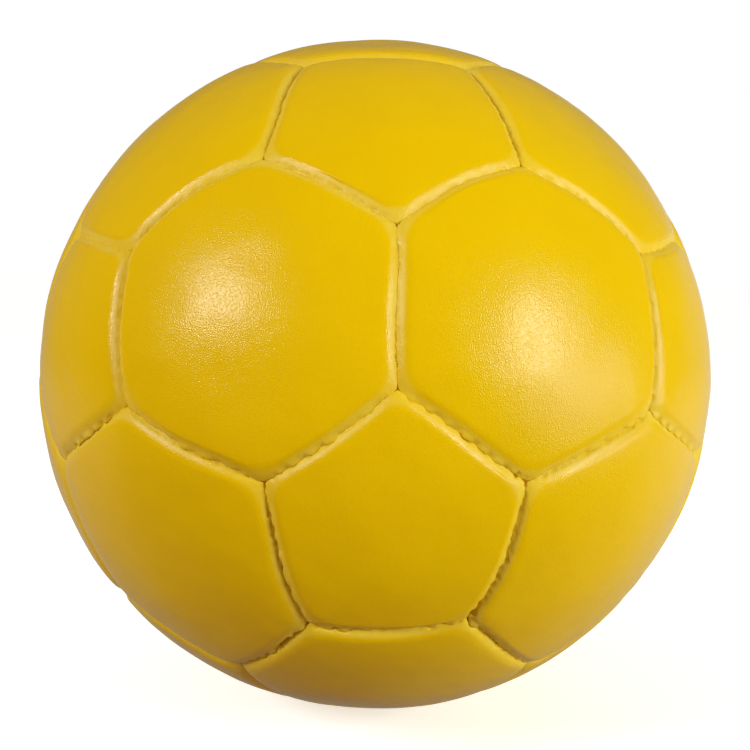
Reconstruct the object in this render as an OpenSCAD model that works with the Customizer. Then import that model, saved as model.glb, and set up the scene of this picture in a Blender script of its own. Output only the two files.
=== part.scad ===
// A hand-stitched ball of twenty hexagon and twelve pentagon panels over a bladder with a valve.
// The origin is the ball's centre, +Z runs through the middle of a hexagon, and lengths are millimetres.

/* [Ball] */
// Distance round the ball
ball_girth = 590; // [500:1:600]

/* [Cover] */
// Thickness of the cover's leather
leather_t = 1.6; // [1.4:0.1:1.7]
// How far below the surface each panel's turned-in edge ends
flange_depth = 5.6; // [5.4:0.1:6]
// Radius at which each panel's edge turns in
edge_r = 3.6; // [3.2:0.1:3.7]
// Radius at which it turns in at its corners, where the fold is softer
corner_edge_r = 4.6; // [4.4:0.1:4.8]
// Height by which those radii would stand over the surface, which leaves a crest line along the edge
edge_rise = 0.08; // [0.05:0.01:0.1]
// Gap between the turned-in edges of two neighbours
seam_gap = 0.1; // [0.05:0.05:0.2]
// Distance that each corner stands back from the point where three panels meet
corner_setback = 1.3; // [1.1:0.1:1.5]

/* [Stitching] */
// Distance from one stitch to the next
stitch_pitch = 5.1; // [4.6:0.1:5.7]
// Depth of the stitches below the surface
stitch_depth = 4.2; // [4.2:0.1:4.5]
// Width of the flat waxed thread
thread_w = 0.8; // [0.6:0.1:0.8]
// Clearance round the thread in its hole
thread_clear = 0.05; // [0.03:0.01:0.08]
// Clearance between the thread and the turned-in edge that it lies on
thread_lay = 0.05; // [0.03:0.01:0.08]

/* [Padding and lining] */
// Thickness of the foam under each panel
foam_t = 2.4; // [2:0.1:2.4]
// Thickness of the cloth lining under the foam
lining_t = 0.6; // [0.4:0.1:0.6]
// Thickness of each glue line
glue_t = 0.05; // [0.03:0.01:0.06]
// Distance that foam and lining stop short of the seam
pad_setback = 3.8; // [3.8:0.1:5]

/* [Bladder] */
// Thickness of the bladder's rubber
bladder_t = 1.2; // [1:0.1:1.5]
// Clearance between the bladder and the turned-in edges
bladder_clear = 0.3; // [0.25:0.05:0.5]
// Diameter of the patch that backs the bladder round the valve
patch_d = 44; // [36:1:50]
// Thickness of that patch
patch_t = 0.9; // [0.6:0.1:1.5]

/* [Valve] */
// Diameter of the valve housing's stem, which shows in the cover
stem_d = 8; // [7.8:0.1:9]
// Clearance round the stem in the cover
stem_clear = 0.2; // [0.15:0.05:0.4]
// Depth of the stem's end below the surface
stem_recess = 0.5; // [0.3:0.1:0.8]
// Diameter of the hole through foam and lining
pad_hole_d = 13; // [10:0.5:16]
// Diameter of the housing's flange, which is bonded to the bladder
valve_flange_d = 30; // [24:1:34]
// Thickness of that flange
valve_flange_t = 0.8; // [0.6:0.1:0.8]
// Diameter of the housing's barrel inside the bladder
barrel_d = 12; // [11:0.5:14]
// Length of the barrel inside the bladder's surface
barrel_l = 15; // [14:0.5:18]
// Clearance round the barrel in the bladder and the patch
barrel_clear = 0.2; // [0.1:0.05:0.4]
// Diameter of the bore that holds the valve's core
core_bore_d = 5.2; // [5:0.1:5.6]
// Radial clearance between the core and its bore
core_clear = 0.05; // [0.03:0.01:0.08]
// Length of the core
core_l = 17; // [16:0.5:18]
// Diameter of the core's head
head_d = 6.4; // [6.2:0.1:6.8]
// Thickness of the core's head
head_t = 1.4; // [1.2:0.1:1.8]
// Length of the taper at the core's inner end
core_taper_l = 2.5; // [2:0.1:3]
// Diameter of the core's inner end
core_end_d = 3.4; // [3:0.1:4]
// Diameter of the hole for the inflating needle
needle_bore_d = 2.1; // [2:0.1:2.3]
// Depth of that hole
needle_bore_l = 12; // [10:0.5:12]
// Diameter of the funnel at its mouth
funnel_d = 3.6; // [3:0.1:4]
// Depth of the funnel
funnel_l = 0.9; // [0.6:0.1:1.2]
// Width of the slit that closes the hole's inner end
slit_w = 0.2; // [0.1:0.05:0.3]

/* [Hidden] */
$fn = 96;
golden = (1 + sqrt(5)) / 2;
turns_to_deg = 180 / PI;
ball_r = ball_girth / (2 * PI);
// Overrun of every cut
overrun_share = 0.1;
over = overrun_share * ball_r;
reach = ball_r + over;

// Angles at the ball's centre, which any ball of this pattern has
hex_side = atan(1 / pow(golden, 2));
hex_corner = atan(tan(hex_side) / cos(30));
pent_side = atan(3 - sqrt(5)) - hex_side;
pent_corner = atan(tan(pent_side) / cos(36));
// Panels whose centres are closer than this share a seam
neighbour_limit = 50;

// Rings of pentagons and hexagons about +Z: [angle from +Z, azimuth] of each centre
high_pent = atan(3 - sqrt(5));
low_pent = atan(3 + sqrt(5));
high_hex = acos(sqrt(5) / 3);
low_hex = acos(1 / 3);
hex_swing = asin(sin(hex_side) / sin(low_hex));
front = -90;
back = 90;
thirds = [0, 120, 240];
pents = [
  for (t = thirds) [high_pent, front + t],
  for (t = thirds) [low_pent, back + t],
  for (t = thirds) [180 - low_pent, front + t],
  for (t = thirds) [180 - high_pent, back + t]
];
upper_pents = [for (p = pents) if (p[0] < 90) p];
lower_pents = [for (p = pents) if (p[0] > 90) p];
hexes = [
  [high_hex, back],
  [0, 0],
  for (t = thirds) if (t > 0) [high_hex, back + t],
  for (t = thirds, s = [-1, 1]) [low_hex, front + t + s * hex_swing],
  for (t = thirds, s = [-1, 1]) [180 - low_hex, back + t + s * hex_swing],
  for (t = thirds) [180 - high_hex, front + t],
  [180, 0]
];
// The first hexagon holds the valve
valve_place = hexes[0];

function ray(p) = [sin(p[0]) * cos(p[1]), sin(p[0]) * sin(p[1]), cos(p[0])];
function apart(p, q) = acos(max(-1, min(1, ray(p) * ray(q))));
// The direction in which one panel sees another, about its own axis
function bearing(p, q) = atan2(
  ray(q) * [-sin(p[1]), cos(p[1]), 0],
  ray(q) * [cos(p[0]) * cos(p[1]), cos(p[0]) * sin(p[1]), -sin(p[0])]
);
function near(p, others) = [for (q = others) if (q != p && apart(p, q) < neighbour_limit) q];

// Centre of a turned-in edge's arc, in the plane square to a seam
function edge_y(r) = seam_gap / 2 + r;
function edge_x(r) = sqrt(pow(ball_r, 2) - pow(edge_y(r), 2)) - r + edge_rise;
flange_r = ball_r - flange_depth;
corner_turn = corner_setback / ball_r * turns_to_deg;
// Where the inside of a corner's fold ends, and the pads under the panel end too
pad_turn = (corner_setback + edge_y(corner_edge_r)) / ball_r * turns_to_deg;

// Stitches, as many as the straight part of a turned-in edge holds
stitch_r = ball_r - stitch_depth;
stitch_turn = stitch_pitch / stitch_r * turns_to_deg;
edge_half = stitch_r * acos(cos(hex_corner - corner_turn) / cos(hex_side)) / turns_to_deg;
stitch_count = floor(2 * (edge_half - leather_t) / stitch_pitch) + 1;
hole_r = thread_w / 2 + thread_clear;
rail_in = seam_gap / 2 + leather_t + thread_lay;
// Width of a stitch between its rails, as a share of the thread's width
rung_share = 0.9;

// Layers under the cover, as radii
foam_r = ball_r - leather_t - glue_t;
lining_r = foam_r - foam_t - glue_t;
bladder_r = flange_r - bladder_clear;
patch_r = bladder_r - bladder_t - glue_t;
valve_flange_r = bladder_r + glue_t + valve_flange_t;

// Valve, as heights along its axis
stem_top = ball_r - stem_recess;
barrel_bottom = bladder_r - barrel_l;
barrel_top = valve_flange_r - valve_flange_t / 2;
seat = stem_top - head_t - core_clear;
core_bottom = stem_top - core_l;
needle_bottom = stem_top - needle_bore_l;

panel_colour = [0.88, 0.72, 0.04];
thread_colour = [0.93, 0.88, 0.7];
foam_colour = [0.93, 0.93, 0.9];
lining_colour = [0.8, 0.8, 0.76];
bladder_colour = [0.12, 0.12, 0.13];
valve_colour = [0.2, 0.2, 0.2];
core_colour = [0.75, 0.6, 0.1];

hex_names = [for (i = [1 : len(hexes) - 1]) str("hexagon_panel_", i)];
pent_names = [for (i = [1 : len(pents)]) str("pentagon_panel_", i)];

// Carries a shape that lies about +Z to a panel's place, turned so that +X points at a neighbour
module at_panel(place, spin) {
  rotate([0, place[0], place[1]]) rotate([0, 0, spin]) children();
}

// Carries a shape to one side of the panel about +Z: its XY plane becomes the seam's plane
module at_side(side_angle, turn) {
  rotate([0, 0, turn]) rotate([0, side_angle - 90, 0]) children();
}

// What lies on the panel's side of a seam: across is the distance from the seam's plane
module edge_shape(r, inset) {
  translate([0, seam_gap / 2 + inset]) square([edge_x(r), reach]);
  translate([0, edge_y(r)]) square([reach, reach]);
  translate([edge_x(r), edge_y(r)]) circle(r - inset);
}

module edge_body(inset) {
  rotate([0, 0, 180]) rotate_extrude() edge_shape(edge_r, inset);
}

// A softer edge, turned round the panel's own axis, which rounds the corners off
module corner_body(corner_angle, inset) {
  rotate_extrude() intersection() {
    rotate(90 - corner_angle + corner_turn) edge_shape(corner_edge_r, inset);
    translate([0, -reach]) square([reach, 2 * reach]);
  }
}

module cap(sides, side_angle, corner_angle, inset) {
  intersection() {
    sphere(ball_r - inset);
    intersection_for(k = [0 : sides - 1]) at_side(side_angle, 360 / sides * k) edge_body(inset);
    corner_body(corner_angle, inset);
  }
}

module stitch_holes(sides, side_angle) {
  for (k = [0 : sides - 1], i = [0 : stitch_count - 1])
    at_side(side_angle, 360 / sides * k)
      rotate([0, 0, (i - (stitch_count - 1) / 2) * stitch_turn])
        translate([stitch_r, 0, 0]) cylinder(r = hole_r, h = rail_in + thread_w);
}

// One panel of the cover: a curved sheet whose edges turn in to be stitched
module leather(sides, side_angle, corner_angle, hole_d = 0) {
  color(panel_colour) difference() {
    cap(sides, side_angle, corner_angle, 0);
    cap(sides, side_angle, corner_angle, leather_t);
    sphere(flange_r);
    stitch_holes(sides, side_angle);
    if (hole_d > 0) cylinder(d = hole_d, h = reach);
  }
}

// A layer between two radii that stops short of the seams and their corners
module pad(sides, side_angle, corner_angle, outer_r, thickness, hole_d = 0) {
  difference() {
    intersection() {
      sphere(outer_r);
      intersection_for(k = [0 : sides - 1]) at_side(side_angle, 360 / sides * k)
        translate([-reach, -reach, pad_setback]) cube([2 * reach, 2 * reach, reach]);
      cylinder(r1 = 0, r2 = reach * tan(corner_angle - pad_turn), h = reach);
    }
    sphere(outer_r - thickness);
    if (hole_d > 0) cylinder(d = hole_d, h = reach);
  }
}

// The thread of one seam: a rail along each turned-in edge, and a rung through each pair of holes
module seam_thread() {
  half = (stitch_count - 1) / 2 * stitch_turn + thread_w / stitch_r * turns_to_deg;
  color(thread_colour) union() {
    for (z = [rail_in, -rail_in - thread_w])
      rotate([0, 0, -half]) rotate_extrude(angle = 2 * half)
        translate([stitch_r - thread_w / 2, z]) square(thread_w);
    for (i = [0 : stitch_count - 1])
      rotate([0, 0, (i - (stitch_count - 1) / 2) * stitch_turn])
        translate([stitch_r, 0, 0])
          cylinder(d = rung_share * thread_w, h = 2 * rail_in + thread_w, center = true);
  }
}

module hexagon_panel(place) {
  at_panel(place, bearing(place, near(place, pents)[0])) leather(6, hex_side, hex_corner);
}

module pentagon_panel(place) {
  at_panel(place, bearing(place, near(place, hexes)[0])) leather(5, pent_side, pent_corner);
}

module valve_panel() {
  at_panel(valve_place, bearing(valve_place, near(valve_place, pents)[0]))
    leather(6, hex_side, hex_corner, stem_d + 2 * stem_clear);
}

// The threads of the seams between each pair of panels in a list
module seam_threads(pairs) {
  for (pair = pairs)
    at_panel(pair[0], bearing(pair[0], pair[1])) at_side(hex_side, 0) seam_thread();
}

module hexagon_stitching() {
  seam_threads([
    for (i = [1 : len(hexes) - 1], j = [0 : i - 1])
      if (apart(hexes[i], hexes[j]) < neighbour_limit) [hexes[i], hexes[j]]
  ]);
}

module pentagon_stitching(some_pents) {
  seam_threads([for (p = some_pents, h = near(p, hexes)) [h, p]]);
}

module hexagon_foam() {
  for (i = [1 : len(hexes) - 1])
    color(foam_colour) at_panel(hexes[i], bearing(hexes[i], near(hexes[i], pents)[0]))
      pad(6, hex_side, hex_corner, foam_r, foam_t);
}

module hexagon_lining() {
  for (i = [1 : len(hexes) - 1])
    color(lining_colour) at_panel(hexes[i], bearing(hexes[i], near(hexes[i], pents)[0]))
      pad(6, hex_side, hex_corner, lining_r, lining_t);
}

module pentagon_foam() {
  for (p = pents)
    color(foam_colour) at_panel(p, bearing(p, near(p, hexes)[0]))
      pad(5, pent_side, pent_corner, foam_r, foam_t);
}

module pentagon_lining() {
  for (p = pents)
    color(lining_colour) at_panel(p, bearing(p, near(p, hexes)[0]))
      pad(5, pent_side, pent_corner, lining_r, lining_t);
}

module valve_foam() {
  color(foam_colour) at_panel(valve_place, bearing(valve_place, near(valve_place, pents)[0]))
    pad(6, hex_side, hex_corner, foam_r, foam_t, pad_hole_d);
}

module valve_lining() {
  color(lining_colour) at_panel(valve_place, bearing(valve_place, near(valve_place, pents)[0]))
    pad(6, hex_side, hex_corner, lining_r, lining_t, pad_hole_d);
}

module at_valve() {
  at_panel(valve_place, 0) children();
}

module bladder() {
  color(bladder_colour) difference() {
    sphere(bladder_r);
    sphere(bladder_r - bladder_t);
    at_valve() cylinder(d = barrel_d + 2 * barrel_clear, h = reach);
  }
}

module bladder_patch() {
  color(bladder_colour) at_valve() difference() {
    intersection() {
      sphere(patch_r);
      cylinder(d = patch_d, h = reach);
    }
    sphere(patch_r - patch_t);
    cylinder(d = barrel_d + 2 * barrel_clear, h = reach);
  }
}

// The housing: a stem that shows in the cover, a flange on the bladder and a barrel inside it
module valve_housing() {
  color(valve_colour) at_valve() difference() {
    union() {
      difference() {
        intersection() {
          sphere(valve_flange_r);
          cylinder(d = valve_flange_d, h = reach);
        }
        sphere(valve_flange_r - valve_flange_t);
      }
      translate([0, 0, barrel_bottom]) cylinder(d = barrel_d, h = barrel_top - barrel_bottom);
      translate([0, 0, barrel_bottom]) cylinder(d = stem_d, h = stem_top - barrel_bottom);
    }
    cylinder(d = core_bore_d, h = reach);
    translate([0, 0, seat]) cylinder(d = head_d + 2 * core_clear, h = over);
  }
}

// The core: a headed plug with a blind hole for the needle, closed by a slit
module valve_core() {
  core_d = core_bore_d - 2 * core_clear;
  color(core_colour) at_valve() difference() {
    union() {
      translate([0, 0, stem_top - head_t]) cylinder(d = head_d, h = head_t);
      translate([0, 0, core_bottom + core_taper_l]) cylinder(d = core_d, h = core_l - core_taper_l);
      translate([0, 0, core_bottom]) cylinder(d1 = core_end_d, d2 = core_d, h = core_taper_l);
    }
    translate([0, 0, needle_bottom]) cylinder(d = needle_bore_d, h = needle_bore_l + over);
    translate([0, 0, stem_top - funnel_l]) cylinder(d1 = needle_bore_d, d2 = funnel_d, h = funnel_l);
    translate([-slit_w / 2, -needle_bore_d / 2, core_bottom - over])
      cube([slit_w, needle_bore_d, needle_bottom - core_bottom + over + slit_w]);
  }
}

valve_panel();
for (i = [1 : len(hexes) - 1])
  hexagon_panel(hexes[i]);
for (i = [0 : len(pents) - 1])
  pentagon_panel(pents[i]);
hexagon_stitching();
pentagon_stitching(upper_pents);  // pentagon_stitching_upper
pentagon_stitching(lower_pents);  // pentagon_stitching_lower
hexagon_foam();
pentagon_foam();
valve_foam();
hexagon_lining();
pentagon_lining();
valve_lining();
bladder();
bladder_patch();
valve_housing();
valve_core();
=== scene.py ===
"""A hand-stitched leather handball: its cover, seams and thread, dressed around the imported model."""

import math

import bpy
import numpy as np
from mathutils import Matrix, Vector


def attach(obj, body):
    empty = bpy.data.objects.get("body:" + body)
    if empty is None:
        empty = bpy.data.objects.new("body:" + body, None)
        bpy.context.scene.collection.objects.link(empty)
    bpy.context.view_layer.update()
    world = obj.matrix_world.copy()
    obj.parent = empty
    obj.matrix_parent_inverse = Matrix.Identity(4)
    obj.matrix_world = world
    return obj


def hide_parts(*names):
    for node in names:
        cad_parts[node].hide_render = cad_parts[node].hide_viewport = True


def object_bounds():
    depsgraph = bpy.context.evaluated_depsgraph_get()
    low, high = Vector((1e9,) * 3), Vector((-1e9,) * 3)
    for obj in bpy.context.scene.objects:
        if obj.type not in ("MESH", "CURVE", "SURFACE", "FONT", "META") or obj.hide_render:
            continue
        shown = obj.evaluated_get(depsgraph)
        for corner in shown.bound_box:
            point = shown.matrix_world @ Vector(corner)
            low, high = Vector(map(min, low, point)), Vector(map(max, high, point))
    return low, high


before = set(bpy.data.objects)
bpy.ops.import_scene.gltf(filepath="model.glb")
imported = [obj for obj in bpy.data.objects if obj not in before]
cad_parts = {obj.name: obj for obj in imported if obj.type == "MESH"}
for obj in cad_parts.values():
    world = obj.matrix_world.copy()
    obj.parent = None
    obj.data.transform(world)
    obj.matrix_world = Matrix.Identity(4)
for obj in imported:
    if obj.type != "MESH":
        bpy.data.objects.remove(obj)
cad_low, cad_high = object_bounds()

# Sizes of the ball, in millimetres
MM = 0.001
BALL_R = (cad_high.z - cad_low.z) / 2 / MM
LEATHER_T = 1.6
FLANGE_DEPTH = 5.6
STITCH_PITCH = 5.1
STITCH_COUNT = 6
STITCH_DEPTH = 2.8
THREAD_D = 0.8
VALVE_HOLE_R = 4.2

# Section of a panel's edge, from the seam to the face: each arc's radius in mm, negative where it is hollow,
# and its slopes in degrees, first at the end by the face and then at the end by the seam
FOLD_ARC = (-0.9, 40, 18)
FLANK_ARC = (4.5, 27, 40)
CREST_ARC = (5.0, 0, 27)
# These arcs in order from the seam, each with its mesh steps
EDGE_ARCS = ((FOLD_ARC, 2), (FLANK_ARC, 4), (CREST_ARC, 6))
# Distance from the seam at which the face ends and the rings start to follow the seams
BAND_LEVEL = 8.0
# How far a ring's corners are rounded at the band, at the crest, at the fold and where the fold is closed
BAND_SOFTNESS = 12.0
CREST_SOFTNESS = 6.5
FOLD_SOFTNESS = 1.7
CLOSED_SOFTNESS = 0.05
# Height under which the two sides of an open seam lie together again
CRACK_DEPTH = -2.0
# How far the cover sinks towards a seam, and how far from the seam it does
SEAM_DROP = 0.35
SEAM_DROP_REACH = 6.0

# Folds of the leather near a seam, in mm
# Where the lip and the fold under it begin to move, and the distance from there at which they move in full
LIP_REACH = (1.1, 1.0)
FOLD_REACH = (1.8, 1.6)
# How far a closed fold presses past the seam's plane
LIP_PRESS = 0.1
# Where a stitch pulls the flank in and how far that reaches, and how deep it pulls the flank and the lip
FLANK_PULL_REACH = (1.0, 1.4)
FLANK_PULL = 0.06
LIP_PULL = 0.16
# Gathers between the stitches: the range of their pitches, their depth, and where they lie
GATHER_PITCH = (1.6, 2.6)
GATHER_DEPTH = 0.04
GATHER_REACH = (0.3, 0.5)
# How far the upper panel's lip hangs over the lower one between two stitches, which part of that it rises,
# the pull at which nothing of it is left, and the shares of it that hold on average and at most
LOBE = 0.7
LOBE_RISE = 0.75
LOBE_PULL = 0.8
LOBE_EVEN = 0.8
LOBE_MOST = 1.5
# The lip hangs over in full where its panel's middle is this much higher than its neighbour's. That holds low
# on the ball and fades upwards, over a range that ends at OVERHANG_HIGH, to the least share. Heights are
# shares of the ball's radius
OVERHANG_STEP = 0.5
OVERHANG_LEAST = 0.1
OVERHANG_HIGH = 0.4
OVERHANG_FADE = 0.7

# Random waves, as height, wavelength and seed: of the faces, of the crests' lines, of the lips' lines, and of
# how far the lips hang over
FACE_WAVES = ((0.08, 26, 31), (0.02, 9, 71))
CREST_WAVES = ((0.12, 13, 131), (0.3, 45, 231))
LIP_WAVES = ((0.08, 2.6, 41), (0.05, 1.3, 42))
LOBE_WAVES = ((0.7, 14, 331),)
# Distance from the crest's line over which its waves fade, in mm
CREST_REACH = 1.2

# Width of an open seam along it, as an even share and one that waves, and the short slits along all seams,
# which lie where their waves are high and widen an open seam by their share
GAP_EVEN = 0.6
GAP_WAVES = ((0.5, 5, 21),)
GAP_SLITS = 0.9
SLIT_WAVES = ((1.0, 2.4, 22),)
SLIT_START = 0.8
SLIT_WIDTH = 0.12

# Mesh steps along one side of a panel: at its edge, in its face, inside its edge, behind its face, and round
# the valve
EDGE_STEPS = 84
FIELD_STEPS = 22
INNER_STEPS = 14
BACK_STEPS = (10, 6)
VALVE_STEPS = 6
# How often the range that holds a ring's point is halved
HALVINGS = 24
# Rings between the band and the crest, by their distance from the seam. The last has the edge's steps
PLAIN_LEVELS = (7.2, 6.4, 5.6, 4.8)
DENSE_LEVEL = 4.1
# Rings in the valve's hole, as the share of the way out from it and the height
HOLE_RINGS = ((0.0, -0.9), (0.0, -0.45), (0.012, -0.12))
# Share of the way from the fold's bottom to the flange's end at which the flange has a ring
FLANGE_SHARE = 0.2
# Rings of the inside, as the distance from the flange's inner face and the height
INSIDE_RINGS = ((0.0, -FLANGE_DEPTH), (0.0, -3.6), (0.6, -2.8), (2.2, -LEATHER_T))

# Camera, as the photograph's outline and seams place it. Pixels are those of its 750 by 750 frame
PHOTO_SIDE = 750
PHOTO_CENTRE = (374.6, 374.48)
PHOTO_BALL_R = 336.3
VIEW_AZIMUTH = math.radians(-3.25)
VIEW_ELEVATION = math.radians(11.7)
VIEW_ROLL = math.radians(0.83)
VIEW_DISTANCE = 3.75 * BALL_R

# Where the photograph shows the seams' corners and the middles of their contact lines, in pixels
SEEN_CORNERS = [
    (263, 160), (397, 224), (305, 68), (465, 71), (522.5, 166.5), (131.5, 252), (127, 407.5), (264, 482),
    (397.5, 388.5), (524.5, 482.5), (309.5, 622), (466, 618), (639, 254.5), (648, 409.5), (241.5, 663),
    (527, 660.5), (691, 456.5), (67, 461.5),
]
SEEN_MIDDLES = [
    (329, 438), (466, 436), (396, 304), (461, 184), (328, 186), (188, 197), (119, 328), (188, 447),
    (280, 560), (504, 559), (388, 629), (652, 330), (595, 448), (589, 204), (281, 105), (497, 110),
    (273, 649), (500, 647), (89, 436), (675, 436),
]
# How deep those places lie in the grooves, and how far round it each one moves the cover, in mm
CORNER_DEPTH = 2.2
CONTACT_DEPTH = 1.9
CORNER_REACH = 15.0
# How much a place of the pattern faces the camera, from 1 in the middle to 0 at the rim, to be one of them
FACING_LIMIT = 0.2

# Stretches of seam that the photograph shows open: pixel, reach, and how far each side stands back, in mm
OPEN_STRETCHES = [
    ((281, 556), 14, 0.14), ((309.5, 622), 3, 0.45), ((500, 565), 12, 0.12), ((467, 618), 4, 0.50),
    ((275, 646), 11, 0.26), ((499, 645), 10, 0.18), ((527, 482), 3, 0.30), ((97, 434), 10, 0.10),
]

# How far the dressed cover lies under the solids' sphere, so that its waves stay within the solids' box
SURFACE_DROP = 0.24
# Where the ball's outline is out of round: pixel, reach and rise in mm
DENTS = [
    ((376, 40), 10, -1.1), ((345, 709), 12, -0.6), ((200, 665), 12, -0.3), ((590, 130), 22, -0.45),
    ((710, 370), 30, 0.25), ((680, 235), 7, -0.3), ((492, 652), 8, -0.2), ((690, 480), 24, 0.2),
    ((42, 380), 24, 0.2),
]

# Marks on the leather: pits as pixel and radius, and creases as two pixels and half a width, in mm
PITS = [
    ((190.5, 590), 0.25), ((192.5, 593), 0.25), ((198.5, 589), 0.3), ((199.5, 592.5), 0.3),
    ((336.5, 504.5), 0.22),
]
CREASES = [((282.5, 597), (289, 607), 0.14), ((289, 607), (297, 615), 0.16)]


def unit(v):
    return v / np.linalg.norm(v, axis=-1, keepdims=True)


def smooth(x):
    x = np.clip(x, 0, 1)
    return x * x * (3 - 2 * x)


def waves(points, wavelength, seed, count=24):
    """A smooth random field over points in mm, of about unit height."""
    rng = np.random.default_rng(seed)
    directions = unit(rng.normal(size=(count, 3)))
    pitches = 2 * math.pi / wavelength * rng.uniform(0.7, 1.4, count)
    phases = rng.uniform(0, 2 * math.pi, count)
    return math.sqrt(2 / count) * np.sin(points @ (directions * pitches[:, None]).T + phases).sum(1)


def mixed_waves(points, parts, shift=0):
    """The sum of such fields, each given as height, wavelength and seed. shift is added to each seed."""
    return sum(height * waves(points, length, seed + shift) for height, length, seed in parts)


def bell(distance, reach, middle=0.0):
    return np.exp(-((distance - middle) / reach) ** 2)


# Camera

def camera_axes():
    """The camera's place in mm, and its right, up and forward directions."""
    back = np.array([
        math.sin(VIEW_AZIMUTH) * math.cos(VIEW_ELEVATION),
        -math.cos(VIEW_AZIMUTH) * math.cos(VIEW_ELEVATION),
        math.sin(VIEW_ELEVATION),
    ])
    right = unit(np.cross([0, 0, 1], back))
    up = np.cross(back, right)
    turn = np.array([[math.cos(VIEW_ROLL), math.sin(VIEW_ROLL)], [-math.sin(VIEW_ROLL), math.cos(VIEW_ROLL)]])
    right, up = turn @ np.array([right, up])
    return back * VIEW_DISTANCE, right, up, -back


EYE, RIGHT, UP, AHEAD = camera_axes()
FOCAL_PX = PHOTO_BALL_R * math.sqrt((VIEW_DISTANCE / BALL_R) ** 2 - 1)


def to_pixels(points):
    seen = points - EYE
    ahead = seen @ AHEAD
    return np.stack([
        PHOTO_CENTRE[0] + FOCAL_PX * (seen @ RIGHT) / ahead,
        PHOTO_CENTRE[1] - FOCAL_PX * (seen @ UP) / ahead,
    ], 1)


def ray_at(pixel, depth=0.0):
    """The ray from the ball's centre to the point that a pixel shows, on its front or depth mm under it."""
    x = (pixel[0] - PHOTO_CENTRE[0]) / FOCAL_PX
    y = (PHOTO_CENTRE[1] - pixel[1]) / FOCAL_PX
    line = unit(AHEAD + x * RIGHT + y * UP)
    along = -EYE @ line
    half = math.sqrt(max(0.0, along**2 - EYE @ EYE + (BALL_R - depth)**2))
    return unit(EYE + line * (along - half))


# Pattern of the cover

# Angles from a panel's middle to the middle of its side, and to its corner, by its number of sides
GOLDEN = (1 + math.sqrt(5)) / 2
HEX_SIDE = math.atan(1 / GOLDEN**2)
PENT_SIDE = math.atan(3 - math.sqrt(5)) - HEX_SIDE
CORNER_ANGLE = {
    6: math.atan(math.tan(HEX_SIDE) / math.cos(math.pi / 6)),
    5: math.atan(math.tan(PENT_SIDE) / math.cos(math.pi / 5)),
}
# Panels whose middles are less than this angle apart share a seam
NEIGHBOUR_LIMIT = math.cos(math.radians(50))


def rays_of(rings):
    polar, azimuth = np.radians(np.array(rings, float)).T
    return np.stack([np.sin(polar) * np.cos(azimuth), np.sin(polar) * np.sin(azimuth), np.cos(polar)], 1)


def pattern():
    """Rays to the middles of the 20 hexagons, the valve's first, and of the 12 pentagons."""
    high_pent = math.degrees(math.atan(3 - math.sqrt(5)))
    low_pent = math.degrees(math.atan(3 + math.sqrt(5)))
    high_hex = math.degrees(math.acos(math.sqrt(5) / 3))
    low_hex = math.degrees(math.acos(1 / 3))
    swing = math.degrees(math.asin(math.sin(HEX_SIDE) / math.sin(math.radians(low_hex))))
    thirds = (0, 120, 240)
    pents = [(high_pent, t - 90) for t in thirds] + [(low_pent, t + 90) for t in thirds]
    pents += [(180 - low_pent, t - 90) for t in thirds] + [(180 - high_pent, t + 90) for t in thirds]
    hexes = [(high_hex, 90), (0, 0)] + [(high_hex, t + 90) for t in thirds[1:]]
    hexes += [(low_hex, t - 90 + s * swing) for t in thirds for s in (-1, 1)]
    hexes += [(180 - low_hex, t + 90 + s * swing) for t in thirds for s in (-1, 1)]
    hexes += [(180 - high_hex, t - 90) for t in thirds] + [(180, 0)]
    return rays_of(hexes), rays_of(pents)


HEXES, PENTS = pattern()
CENTRES = np.vstack([HEXES, PENTS])
NODE_NAMES = ["valve_panel"] + [f"hexagon_panel_{i}" for i in range(1, len(HEXES))]
NODE_NAMES += [f"pentagon_panel_{i + 1}" for i in range(len(PENTS))]
VALVE_RAY = CENTRES[0]


class Panel:
    """One panel's middle, corners, and the planes and directions of its seams."""

    def __init__(self, index):
        self.index = index
        self.centre = CENTRES[index]
        near = [j for j, c in enumerate(CENTRES) if j != index and c @ self.centre > NEIGHBOUR_LIMIT]
        across = np.cross(self.centre, CENTRES[near[0]])
        ahead = np.cross(across, self.centre)
        bearings = [math.atan2(CENTRES[j] @ across, CENTRES[j] @ ahead) % (2 * math.pi) for j in near]
        self.neighbours = [near[k] for k in np.argsort(bearings)]
        self.sides = len(near)
        others = CENTRES[self.neighbours]
        ways = unit(others - (others @ self.centre)[:, None] * self.centre)
        between = unit(ways + np.roll(ways, 1, axis=0))
        angle = CORNER_ANGLE[self.sides]
        self.corners = math.cos(angle) * self.centre + math.sin(angle) * between
        self.normals = unit(np.cross(self.corners, np.roll(self.corners, -1, axis=0)))
        self.seams = [tuple(sorted((index, j))) for j in self.neighbours]
        self.tangents = np.array([seam_tangent(seam) for seam in self.seams])


def seam_tangent(seam):
    return unit(np.cross(CENTRES[seam[0]], CENTRES[seam[1]]))


PANELS = [Panel(i) for i in range(len(CENTRES))]
SEAMS = sorted({seam for panel in PANELS for seam in panel.seams})


# Bends of the seams, which the whole cover shares

def seam_shifts():
    """Rays of the corners and seam middles that the photograph shows, and how far each one moves."""
    corners = np.vstack([panel.corners for panel in PANELS])
    middles = np.vstack([unit(panel.corners + np.roll(panel.corners, -1, axis=0)) for panel in PANELS])
    kinds = ((corners, SEEN_CORNERS, CORNER_DEPTH), (middles, SEEN_MIDDLES, CONTACT_DEPTH))
    found, shifts = [], []
    for ideal, places, depth in kinds:
        ideal = np.unique(ideal.round(6), axis=0)
        facing = ideal[ideal @ unit(EYE) > FACING_LIMIT]
        pixels = to_pixels(facing * (BALL_R - depth))
        for seen in places:
            nearest = np.linalg.norm(pixels - np.array(seen), axis=1).argmin()
            found.append(facing[nearest])
            shifts.append(ray_at(seen, depth) - facing[nearest])
    return np.array(found), np.array(shifts)


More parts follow.
